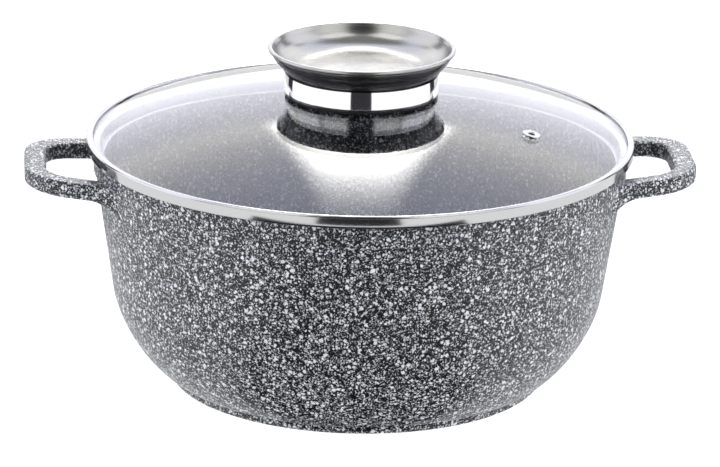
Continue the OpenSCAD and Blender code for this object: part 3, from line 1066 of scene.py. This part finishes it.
@dataclass
class Studio:
    """White floor and backdrop, a dark room behind the camera and soft boxes beside it.

    Angles round the pot count from the camera's side. All is turned with the camera.
    """

    turn_deg: float
    floor_size: float = 12.0
    floor_colour: Colour = (0.25, 0.25, 0.25)
    floor_glow: float = 1.0
    white: Colour = (1.7, 1.7, 1.86)
    dark: Colour = (0.03, 0.03, 0.033)
    overhead: Colour = (0.35, 0.35, 0.35)
    overhead_from: tuple[float, float] = (58.0, 8.0)
    overhead_back: tuple[float, float] = (-0.5, -0.3)
    box_deg: float = 50.0
    box_out: float = 0.9
    box_up: float = 1.6
    box_size: tuple[float, float] = (0.9, 0.7)
    box_power: float = 3.6

    def base_patches(self) -> list[Patch]:
        """The ceiling and the dark room, which the grey overhead lies on."""
        return [Patch((1.5, 1.55, 1.85), over=(44.0, 6.0)), Patch(self.dark, within=(72.0, 6.0))]

    def top_patches(self) -> list[Patch]:
        """The dark slits, the glow in front, the arch of light and the strip light behind."""
        return [
            Patch(self.dark, within=(132.0, 2.0), beyond=(120.0, 2.0), under=(45.0, 5.0)),
            Patch((1.55, 1.55, 1.57), within=(68.0, 16.0), beyond=(22.0, 6.0), over=(8.0, 5.0),
                  under=(44.0, 10.0)),
            Patch((2.05, 2.03, 2.03), beyond=(120.0, 25.0), over=(27.0, 3.0), under=(36.0, 6.0)),
            Patch((17.0, 16.7, 16.0), beyond=(175.6, 3.8), over=(29.0, 2.0), under=(46.0, 16.0))]

    @staticmethod
    def cards() -> list[Card]:
        """The dark cards before and beside the pot, and the grey one behind it."""
        return [Card("dark_card", 0.0, 15.0, 0.45, 2.6),
                Card("dark_apron", 0.0, 38.0, 0.12, 0.5, 2.0 * MM),
                Card("left_wing", -129.0, 8.0, 0.3, 1.6),
                Card("right_wing", 129.0, 8.0, 0.3, 1.6),
                Card("rear_card", 180.0, 42.0, 0.3, 6.0, glow=0.78)]

    def spot(self, angle_deg: float, distance: float, height: float) -> Vector:
        """A point at an angle from the camera's side, a distance and a height."""
        turn = math.radians(self.turn_deg + angle_deg)
        return Vector((math.sin(turn) * distance, -math.cos(turn) * distance, height))

    def surround(self) -> None:
        """Lights the scene from all round with a backdrop, a ceiling and a dark room.

        Camera rays see plain white.
        """
        desk = SkyDesk("studio")
        split = desk.add("ShaderNodeSeparateXYZ")
        desk.link(desk.add("ShaderNodeTexCoord").outputs["Generated"], split.inputs[0])
        x, y, z = split.outputs
        turn = math.radians(self.turn_deg)
        level = desk.math("SQRT", desk.math(
            "ADD", desk.math("MULTIPLY", x, x), desk.math("MULTIPLY", y, y)))
        ahead = desk.math("DIVIDE", desk.math(
            "SUBTRACT", desk.math("MULTIPLY", x, math.sin(turn)),
            desk.math("MULTIPLY", y, math.cos(turn))), level)

        def above(deg: float, soft: float) -> Socket:
            """1 above an elevation, 0 below it."""
            return desk.ramp(z, math.sin(math.radians(deg - soft)),
                             math.sin(math.radians(deg + soft)))

        def within(deg: float, soft: float) -> Socket:
            """1 within an angle of the camera's side, 0 outside it."""
            return desk.ramp(ahead, math.cos(math.radians(deg + soft)),
                             math.cos(math.radians(deg - soft)))

        def lay(patch: Patch, below: object) -> Socket:
            """Lays a patch over the colour below it."""
            masks = []
            for edge, mask, outside in (
                    (patch.within, within, False), (patch.beyond, within, True),
                    (patch.over, above, False), (patch.under, above, True)):
                if edge:
                    masks.append(desk.inverse(mask(*edge)) if outside else mask(*edge))
            return desk.mix(desk.both(*masks), below, patch.colour)

        colour: object = self.white
        for patch in self.base_patches():
            colour = lay(patch, colour)
        toward = desk.math("MULTIPLY", ahead, level)
        overhead = desk.both(above(*self.overhead_from), desk.ramp(toward, *self.overhead_back))
        colour = desk.mix(overhead, colour, self.overhead)
        for patch in self.top_patches():
            colour = lay(patch, colour)
        seen = desk.add("ShaderNodeLightPath").outputs["Is Camera Ray"]
        desk.set(Color=desk.mix(seen, colour, (1.0, 1.0, 1.0)))

    @staticmethod
    def softbox(name: str, place: Vector, wide: float, tall: float, power: float) -> None:
        """Adds one soft box that faces the pot, of a size in metres and a power in watts."""
        data = bpy.data.lights.new(name, "AREA")
        data.shape, data.size, data.size_y, data.energy = "RECTANGLE", wide, tall, power
        lamp = new_piece(name, data)
        aim = Vector((0.0, 0.0, 0.08))
        facing = (aim - place).to_track_quat("-Z", "Y")
        lamp.matrix_world = Matrix.Translation(place) @ facing.to_matrix().to_4x4()
        lamp.visible_camera = False

    @staticmethod
    def flat(name: str, corners: Iterable[Sequence[float]], colour: Sequence[float],
             glow: float = 0.0, seen: bool = True) -> None:
        """Adds one flat card to the stage. One that isn't seen only shows in reflections."""
        mesh = bpy.data.meshes.new(name)
        mesh.from_pydata([tuple(c) for c in corners], [], [(0, 1, 2, 3)])
        card = new_piece(name, mesh)
        desk = NodeDesk(name)
        desk.set(Base_Color=(*colour, 1.0), Roughness=0.9, Specular_IOR_Level=0.0,
                 Emission_Color=(1.0, 1.0, 1.0, 1.0), Emission_Strength=glow)
        mesh.materials.append(desk.material)
        card.visible_camera = card.visible_diffuse = seen

    def build(self) -> None:
        """Sets up the floor, the surround and the lights."""
        half = self.floor_size / 2
        drop = -0.05 * MM
        self.flat("floor", [(-half, -half, drop), (half, -half, drop), (half, half, drop),
                            (-half, half, drop)], self.floor_colour, self.floor_glow)
        for card in self.cards():
            low, high = card.middle_deg - card.half_deg, card.middle_deg + card.half_deg
            self.flat(card.name, [self.spot(low, card.near, card.lift),
                                  self.spot(high, card.near, card.lift),
                                  self.spot(high, card.far, card.lift),
                                  self.spot(low, card.far, card.lift)],
                      self.dark, card.glow, seen=False)
        self.surround()
        for name, side in (("left_box", -1), ("right_box", 1)):
            self.softbox(name, self.spot(side * self.box_deg, self.box_out, self.box_up),
                         *self.box_size, self.box_power)
        view = bpy.context.scene.view_settings
        view.view_transform, view.look = "Standard", "None"


def main() -> None:
    """Builds the camera, the pieces and the studio in order."""
    logging.basicConfig(level=logging.INFO, format="%(name)s: %(message)s")
    camera = PhotoCamera()
    camera.build()
    shop = Workshop()
    pot = Pot()
    pot.build(shop)
    lid = Lid(pot)
    lid.build(shop)
    Knob(lid.dome).build(shop)
    Studio(camera.azimuth_deg).build()


if __name__ == "__main__":
    main()
